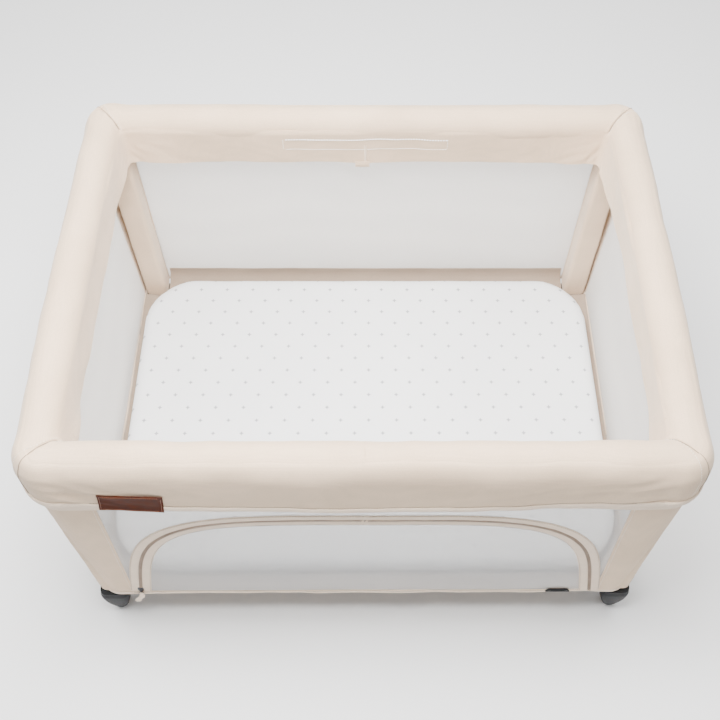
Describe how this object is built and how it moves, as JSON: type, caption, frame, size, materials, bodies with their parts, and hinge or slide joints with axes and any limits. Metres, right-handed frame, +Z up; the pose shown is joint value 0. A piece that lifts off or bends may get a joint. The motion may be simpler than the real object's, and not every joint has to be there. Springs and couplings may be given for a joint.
{
  "type": "playpen",
  "caption": "Folding playpen with padded rails, mesh walls, a zipped side door, moulded feet and a fitted mattress on a fabric floor.",
  "frame": {"origin": "on the ground below the middle of the playpen", "axes": "+X along the long side, +Y towards the back, away from the zipped door, +Z up"},
  "size_m": [1.067, 0.797, 0.67],
  "materials": {
    "frame_steel": "satin",
    "pin_steel": "satin",
    "black_plastic": "matte",
    "grey_plastic": "matte",
    "cover_fabric": "woven",
    "wall_mesh": "open mesh",
    "floor_fabric": "woven",
    "sheet_fabric": "printed knit",
    "tag_leather": "grained",
    "zip": "satin"
  },
  "bodies": {
    "leg_front_left": {"leg_tube_fl": "frame_steel", "corner_bracket_fl": "grey_plastic", "foot_fl": "black_plastic", "leg_pins_fl": "pin_steel", "leg_sleeve_fl": "cover_fabric", "rail_cover_front": "cover_fabric", "rail_cover_left": "cover_fabric", "wall_front": "wall_mesh", "wall_left": "wall_mesh", "leather_tag": "tag_leather"},
    "leg_front_right": {"leg_tube_fr": "frame_steel", "corner_bracket_fr": "grey_plastic", "foot_fr": "black_plastic", "leg_pins_fr": "pin_steel", "leg_sleeve_fr": "cover_fabric", "door_clip": "black_plastic", "rail_cover_right": "cover_fabric", "wall_right": "wall_mesh"},
    "leg_back_left": {"leg_tube_bl": "frame_steel", "corner_bracket_bl": "grey_plastic", "foot_bl": "black_plastic", "leg_pins_bl": "pin_steel", "leg_sleeve_bl": "cover_fabric", "rail_cover_back": "cover_fabric", "wall_back": "wall_mesh"},
    "leg_back_right": {"leg_tube_br": "frame_steel", "corner_bracket_br": "grey_plastic", "foot_br": "black_plastic", "leg_pins_br": "pin_steel", "leg_sleeve_br": "cover_fabric"},
    "rail_front_left": {"rail_front_left": "frame_steel"},
    "rail_front_right": {"rail_front_right": "frame_steel"},
    "rail_back_left": {"rail_back_left": "frame_steel"},
    "rail_back_right": {"rail_back_right": "frame_steel"},
    "rail_left_front": {"rail_left_front": "frame_steel"},
    "rail_left_back": {"rail_left_back": "frame_steel"},
    "rail_right_front": {"rail_right_front": "frame_steel"},
    "rail_right_back": {"rail_right_back": "frame_steel"},
    "latch_front": {"latch_front": "grey_plastic", "latch_pins_front": "pin_steel"},
    "button_front": {"latch_button_front": "grey_plastic"},
    "latch_back": {"latch_back": "grey_plastic", "latch_pins_back": "pin_steel"},
    "button_back": {"latch_button_back": "grey_plastic"},
    "latch_left": {"latch_left": "grey_plastic", "latch_pins_left": "pin_steel"},
    "button_left": {"latch_button_left": "grey_plastic"},
    "latch_right": {"latch_right": "grey_plastic", "latch_pins_right": "pin_steel"},
    "button_right": {"latch_button_right": "grey_plastic"},
    "arm_fl": {"floor_arm_fl": "frame_steel"},
    "arm_fr": {"floor_arm_fr": "frame_steel"},
    "arm_bl": {"floor_arm_bl": "frame_steel"},
    "arm_br": {"floor_arm_br": "frame_steel"},
    "hub": {"floor_hub": "grey_plastic", "hub_pins": "pin_steel", "floor_fabric": "floor_fabric"},
    "mattress": {"mattress": "sheet_fabric"},
    "door": {"zip_door": "wall_mesh"},
    "slider": {"zip_slider": "zip"}
  },
  "joints": [
    {"name": "frame_fold", "type": "hinge", "parent": "leg_front_left", "child": "rail_front_left", "pos_m": [-0.433, -0.36, 0.6385], "axis": [0, 1, 0], "range_deg": [0, 87], "deforming": ["rail_cover_front", "rail_cover_left", "rail_cover_right", "rail_cover_back", "wall_front", "wall_left", "wall_right", "wall_back", "floor_fabric", "mattress", "zip_door"]},
    {"name": "front_latch_left", "type": "hinge", "parent": "rail_front_left", "child": "latch_front", "pos_m": [-0.036, -0.36, 0.6385], "axis": [0, -1, 0], "range_deg": [0, 87]},
    {"name": "front_latch_right", "type": "hinge", "parent": "latch_front", "child": "rail_front_right", "pos_m": [0.036, -0.36, 0.6385], "axis": [0, -1, 0], "range_deg": [0, 87]},
    {"name": "front_right_corner", "type": "hinge", "parent": "rail_front_right", "child": "leg_front_right", "pos_m": [0.433, -0.36, 0.6385], "axis": [0, 1, 0], "range_deg": [0, 87]},
    {"name": "left_front_corner", "type": "hinge", "parent": "leg_front_left", "child": "rail_left_front", "pos_m": [-0.495, -0.298, 0.6385], "axis": [-1, 0, 0], "range_deg": [0, 87]},
    {"name": "left_latch_front", "type": "hinge", "parent": "rail_left_front", "child": "latch_left", "pos_m": [-0.495, -0.036, 0.6385], "axis": [1, 0, 0], "range_deg": [0, 87]},
    {"name": "left_latch_back", "type": "hinge", "parent": "latch_left", "child": "rail_left_back", "pos_m": [-0.495, 0.036, 0.6385], "axis": [1, 0, 0], "range_deg": [0, 87]},
    {"name": "left_back_corner", "type": "hinge", "parent": "rail_left_back", "child": "leg_back_left", "pos_m": [-0.495, 0.298, 0.6385], "axis": [-1, 0, 0], "range_deg": [0, 87]},
    {"name": "right_front_corner", "type": "hinge", "parent": "leg_front_right", "child": "rail_right_front", "pos_m": [0.495, -0.298, 0.6385], "axis": [-1, 0, 0], "range_deg": [0, 87]},
    {"name": "right_latch_front", "type": "hinge", "parent": "rail_right_front", "child": "latch_right", "pos_m": [0.495, -0.036, 0.6385], "axis": [1, 0, 0], "range_deg": [0, 87]},
    {"name": "right_latch_back", "type": "hinge", "parent": "latch_right", "child": "rail_right_back", "pos_m": [0.495, 0.036, 0.6385], "axis": [1, 0, 0], "range_deg": [0, 87]},
    {"name": "right_back_corner", "type": "hinge", "parent": "rail_right_back", "child": "leg_back_right", "pos_m": [0.495, 0.298, 0.6385], "axis": [-1, 0, 0], "range_deg": [0, 87]},
    {"name": "back_left_corner", "type": "hinge", "parent": "leg_back_left", "child": "rail_back_left", "pos_m": [-0.433, 0.36, 0.6385], "axis": [0, 1, 0], "range_deg": [0, 87]},
    {"name": "back_latch_left", "type": "hinge", "parent": "rail_back_left", "child": "latch_back", "pos_m": [-0.036, 0.36, 0.6385], "axis": [0, -1, 0], "range_deg": [0, 87]},
    {"name": "back_right_corner", "type": "hinge", "parent": "leg_back_right", "child": "rail_back_right", "pos_m": [0.433, 0.36, 0.6385], "axis": [0, -1, 0], "range_deg": [0, 87]},
    {"name": "arm_front_left_foot", "type": "hinge", "parent": "leg_front_left", "child": "arm_fl", "pos_m": [-0.44, -0.305, 0.062], "axis": [0.5508, -0.8346, 0], "range_deg": [0, 87]},
    {"name": "hub_front_left", "type": "hinge", "parent": "arm_fl", "child": "hub", "pos_m": [-0.043, -0.043, 0.062], "axis": [-0.5508, 0.8346, 0], "range_deg": [0, 87]},
    {"name": "hub_front_right", "type": "hinge", "parent": "hub", "child": "arm_fr", "pos_m": [0.043, -0.043, 0.062], "axis": [0.5508, 0.8346, 0], "range_deg": [0, 87]},
    {"name": "hub_back_left", "type": "hinge", "parent": "hub", "child": "arm_bl", "pos_m": [-0.043, 0.043, 0.062], "axis": [-0.5508, -0.8346, 0], "range_deg": [0, 87]},
    {"name": "hub_back_right", "type": "hinge", "parent": "hub", "child": "arm_br", "pos_m": [0.043, 0.043, 0.062], "axis": [-0.5508, 0.8346, 0], "range_deg": [0, 87]},
    {"name": "mattress_lift", "type": "slide", "parent": "hub", "child": "mattress", "axis": [0, 0, 1], "range_m": [0, 0.08]},
    {"name": "door_hinge", "type": "hinge", "parent": "leg_front_left", "child": "door", "pos_m": [0, -0.383, 0.126], "axis": [1, 0, 0], "range_deg": [0, 95]},
    {"name": "zip_slide", "type": "slide", "parent": "leg_front_left", "child": "slider", "axis": [0.1957, -0.0207, 0.9805], "range_m": [0, 0.15]},
    {"name": "latch_press_front", "type": "slide", "parent": "latch_front", "child": "button_front", "axis": [0, 0, 1], "range_m": [0, 0.003], "stiffness_N_per_m": 400, "springref_m": -0.002},
    {"name": "latch_press_back", "type": "slide", "parent": "latch_back", "child": "button_back", "axis": [0, 0, 1], "range_m": [0, 0.003], "stiffness_N_per_m": 400, "springref_m": -0.002},
    {"name": "latch_press_left", "type": "slide", "parent": "latch_left", "child": "button_left", "axis": [0, 0, 1], "range_m": [0, 0.003], "stiffness_N_per_m": 400, "springref_m": -0.002},
    {"name": "latch_press_right", "type": "slide", "parent": "latch_right", "child": "button_right", "axis": [0, 0, 1], "range_m": [0, 0.003], "stiffness_N_per_m": 400, "springref_m": -0.002}
  ],
  "couplings": [
    {"joint": "front_latch_left", "follows": "frame_fold", "ratio": 1},
    {"joint": "front_latch_right", "follows": "frame_fold", "ratio": 1},
    {"joint": "front_right_corner", "follows": "frame_fold", "ratio": 1},
    {"joint": "left_front_corner", "follows": "frame_fold", "ratio": 1},
    {"joint": "left_latch_front", "follows": "frame_fold", "ratio": 1},
    {"joint": "left_latch_back", "follows": "frame_fold", "ratio": 1},
    {"joint": "left_back_corner", "follows": "frame_fold", "ratio": 1},
    {"joint": "right_front_corner", "follows": "frame_fold", "ratio": 1},
    {"joint": "right_latch_front", "follows": "frame_fold", "ratio": 1},
    {"joint": "right_latch_back", "follows": "frame_fold", "ratio": 1},
    {"joint": "right_back_corner", "follows": "frame_fold", "ratio": 1},
    {"joint": "back_left_corner", "follows": "frame_fold", "ratio": 1},
    {"joint": "back_latch_left", "follows": "frame_fold", "ratio": 1},
    {"joint": "back_right_corner", "follows": "frame_fold", "ratio": 1},
    {"joint": "arm_front_left_foot", "follows": "frame_fold", "ratio": 1},
    {"joint": "hub_front_left", "follows": "frame_fold", "ratio": 1},
    {"joint": "hub_front_right", "follows": "frame_fold", "ratio": 1},
    {"joint": "hub_back_left", "follows": "frame_fold", "ratio": 1},
    {"joint": "hub_back_right", "follows": "frame_fold", "ratio": 1},
    {"joint": "mattress_lift", "follows": "frame_fold", "m_per_rad": 0.052}
  ]
}
